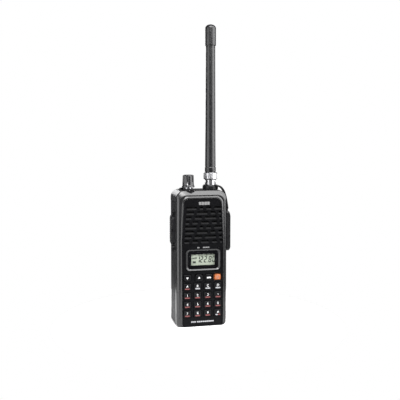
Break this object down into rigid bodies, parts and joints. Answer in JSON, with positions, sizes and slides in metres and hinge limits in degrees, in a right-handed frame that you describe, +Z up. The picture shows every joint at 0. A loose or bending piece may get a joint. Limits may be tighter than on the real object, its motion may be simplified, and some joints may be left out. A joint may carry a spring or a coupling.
{
  "type": "handheld two-way radio",
  "caption": "Handheld VHF radio with keypad, display, speaker grille, volume knob, whip antenna on a bayonet socket, talk button, jack cover, slide-off battery pack and sprung belt clip.",
  "frame": {"origin": "on the base plane, under the middle of the body", "axes": "+Z up along the antenna, -Y out of the front face, +X to the user's right"},
  "size_m": [0.0594, 0.045, 0.3058],
  "materials": {
    "case_black": "satin fine grain",
    "chassis_grey": "satin fine grain",
    "battery_black": "satin fine grain",
    "knob_black": "satin",
    "key_black": "satin rubberised",
    "key_orange": "satin",
    "window": "polished",
    "lcd": "satin",
    "light_guide": "frosted",
    "cloth": "woven",
    "board": "solder resist",
    "steel": "plain",
    "spring_steel": "bright",
    "clip_steel": "satin black",
    "chrome": "bright",
    "brass": "gold plated",
    "rubber": "matt moulded",
    "mat_rubber": "matt moulded",
    "antenna_rubber": "matt moulded",
    "jack_plastic": "moulded",
    "latch_plastic": "satin",
    "cell": "printed sleeve"
  },
  "bodies": {
    "radio": {"front_case": "case_black", "display_window": "window", "lcd_panel": "lcd", "light_guide": "light_guide", "speaker_mesh": "cloth", "speaker": "steel", "microphone": "steel", "keypad_mat": "mat_rubber", "logic_board": "board", "main_board": "board", "chassis": "chassis_grey", "case_seal": "rubber", "case_screws": "steel", "volume_pot": "steel", "top_nuts": "clip_steel", "antenna_jack": "chrome", "cover_strap": "rubber", "jack_sockets": "jack_plastic", "side_switches": "board", "contact_pins": "brass", "latch_spring": "spring_steel"},
    "knob": {"volume_knob": "knob_black", "volume_shaft": "steel"},
    "antenna": {"antenna_plug": "chrome", "antenna_whip": "antenna_rubber", "antenna_cap": "antenna_rubber"},
    "coupling": {"coupling_ring": "chrome"},
    "cover": {"jack_cover": "rubber"},
    "ptt": {"ptt_button": "rubber"},
    "func": {"func_key": "rubber"},
    "monitor": {"monitor_key": "rubber"},
    "latch": {"battery_latch": "latch_plastic"},
    "battery_pack": {"battery_case": "battery_black", "battery_lid": "battery_black", "battery_cells": "cell", "battery_terminals": "brass", "clip_bracket": "clip_steel", "clip_pin": "steel", "clip_spring": "spring_steel"},
    "clip": {"belt_clip": "clip_steel"},
    "key_down": {"key_down": "key_black"},
    "key_up": {"key_up": "key_black"},
    "key_band": {"key_band": "key_black"},
    "key_power": {"key_power": "key_orange"},
    "key_a": {"key_a": "key_black"},
    "key_b": {"key_b": "key_black"},
    "key_c": {"key_c": "key_black"},
    "key_d": {"key_d": "key_black"},
    "key_1": {"key_1": "key_black"},
    "key_2": {"key_2": "key_black"},
    "key_3": {"key_3": "key_black"},
    "key_star": {"key_star": "key_black"},
    "key_4": {"key_4": "key_black"},
    "key_5": {"key_5": "key_black"},
    "key_6": {"key_6": "key_black"},
    "key_0": {"key_0": "key_black"},
    "key_7": {"key_7": "key_black"},
    "key_8": {"key_8": "key_black"},
    "key_9": {"key_9": "key_black"},
    "key_hash": {"key_hash": "key_black"}
  },
  "joints": [
    {"name": "jack_cover_hinge", "type": "hinge", "parent": "radio", "child": "cover", "pos_m": [0.0292, -0.0094, 0.1186], "axis": [0, -1, 0], "range_deg": [0, 110]},
    {"name": "clip_hinge", "type": "hinge", "parent": "battery_pack", "child": "clip", "pos_m": [0, 0.023, 0.097], "axis": [1, 0, 0], "range_deg": [0, 18], "stiffness_Nm_per_rad": 0.4, "springref_deg": -14.32},
    {"name": "battery_slide", "type": "slide", "parent": "radio", "child": "battery_pack", "axis": [0, 1, 0], "range_m": [0, 0.05]},
    {"name": "latch_slide", "type": "slide", "parent": "radio", "child": "latch", "axis": [0, -1, 0], "range_m": [0, 0.0015], "stiffness_N_per_m": 800, "deforming": ["latch_spring"]},
    {"name": "knob_turn", "type": "hinge", "parent": "radio", "child": "knob", "pos_m": [-0.0118, -0.006, 0.14], "axis": [0, 0, -1], "range_deg": [-30, 270]},
    {"name": "coupling_turn", "type": "hinge", "parent": "radio", "child": "coupling", "pos_m": [0.0128, 0, 0.15], "axis": [0, 0, 1], "range_deg": [0, 80]},
    {"name": "antenna_turn", "type": "hinge", "parent": "radio", "child": "antenna", "pos_m": [0.0128, 0, 0.16], "axis": [0, 0, 1], "continuous": true},
    {"name": "ptt_press", "type": "slide", "parent": "radio", "child": "ptt", "axis": [1, 0, 0], "range_m": [0, 0.0012], "stiffness_N_per_m": 1500},
    {"name": "func_press", "type": "slide", "parent": "radio", "child": "func", "axis": [1, 0, 0], "range_m": [0, 0.0007], "stiffness_N_per_m": 1500},
    {"name": "monitor_press", "type": "slide", "parent": "radio", "child": "monitor", "axis": [1, 0, 0], "range_m": [0, 0.0007], "stiffness_N_per_m": 1500},
    {"name": "key_power_press", "type": "slide", "parent": "radio", "child": "key_power", "axis": [0, 1, 0], "range_m": [0, 0.0007], "stiffness_N_per_m": 1500},
    {"name": "key_up_press", "type": "slide", "parent": "radio", "child": "key_up", "axis": [0, 1, 0], "range_m": [0, 0.0007], "stiffness_N_per_m": 1500},
    {"name": "key_down_press", "type": "slide", "parent": "radio", "child": "key_down", "axis": [0, 1, 0], "range_m": [0, 0.0007], "stiffness_N_per_m": 1500},
    {"name": "key_band_press", "type": "slide", "parent": "radio", "child": "key_band", "axis": [0, 1, 0], "range_m": [0, 0.0007], "stiffness_N_per_m": 1500},
    {"name": "key_a_press", "type": "slide", "parent": "radio", "child": "key_a", "axis": [0, 1, 0], "range_m": [0, 0.0007], "stiffness_N_per_m": 1500},
    {"name": "key_b_press", "type": "slide", "parent": "radio", "child": "key_b", "axis": [0, 1, 0], "range_m": [0, 0.0007], "stiffness_N_per_m": 1500},
    {"name": "key_c_press", "type": "slide", "parent": "radio", "child": "key_c", "axis": [0, 1, 0], "range_m": [0, 0.0007], "stiffness_N_per_m": 1500},
    {"name": "key_d_press", "type": "slide", "parent": "radio", "child": "key_d", "axis": [0, 1, 0], "range_m": [0, 0.0007], "stiffness_N_per_m": 1500},
    {"name": "key_1_press", "type": "slide", "parent": "radio", "child": "key_1", "axis": [0, 1, 0], "range_m": [0, 0.0007], "stiffness_N_per_m": 1500},
    {"name": "key_2_press", "type": "slide", "parent": "radio", "child": "key_2", "axis": [0, 1, 0], "range_m": [0, 0.0007], "stiffness_N_per_m": 1500},
    {"name": "key_3_press", "type": "slide", "parent": "radio", "child": "key_3", "axis": [0, 1, 0], "range_m": [0, 0.0007], "stiffness_N_per_m": 1500},
    {"name": "key_star_press", "type": "slide", "parent": "radio", "child": "key_star", "axis": [0, 1, 0], "range_m": [0, 0.0007], "stiffness_N_per_m": 1500},
    {"name": "key_4_press", "type": "slide", "parent": "radio", "child": "key_4", "axis": [0, 1, 0], "range_m": [0, 0.0007], "stiffness_N_per_m": 1500},
    {"name": "key_5_press", "type": "slide", "parent": "radio", "child": "key_5", "axis": [0, 1, 0], "range_m": [0, 0.0007], "stiffness_N_per_m": 1500},
    {"name": "key_6_press", "type": "slide", "parent": "radio", "child": "key_6", "axis": [0, 1, 0], "range_m": [0, 0.0007], "stiffness_N_per_m": 1500},
    {"name": "key_0_press", "type": "slide", "parent": "radio", "child": "key_0", "axis": [0, 1, 0], "range_m": [0, 0.0007], "stiffness_N_per_m": 1500},
    {"name": "key_7_press", "type": "slide", "parent": "radio", "child": "key_7", "axis": [0, 1, 0], "range_m": [0, 0.0007], "stiffness_N_per_m": 1500},
    {"name": "key_8_press", "type": "slide", "parent": "radio", "child": "key_8", "axis": [0, 1, 0], "range_m": [0, 0.0007], "stiffness_N_per_m": 1500},
    {"name": "key_9_press", "type": "slide", "parent": "radio", "child": "key_9", "axis": [0, 1, 0], "range_m": [0, 0.0007], "stiffness_N_per_m": 1500},
    {"name": "key_hash_press", "type": "slide", "parent": "radio", "child": "key_hash", "axis": [0, 1, 0], "range_m": [0, 0.0007], "stiffness_N_per_m": 1500}
  ]
}
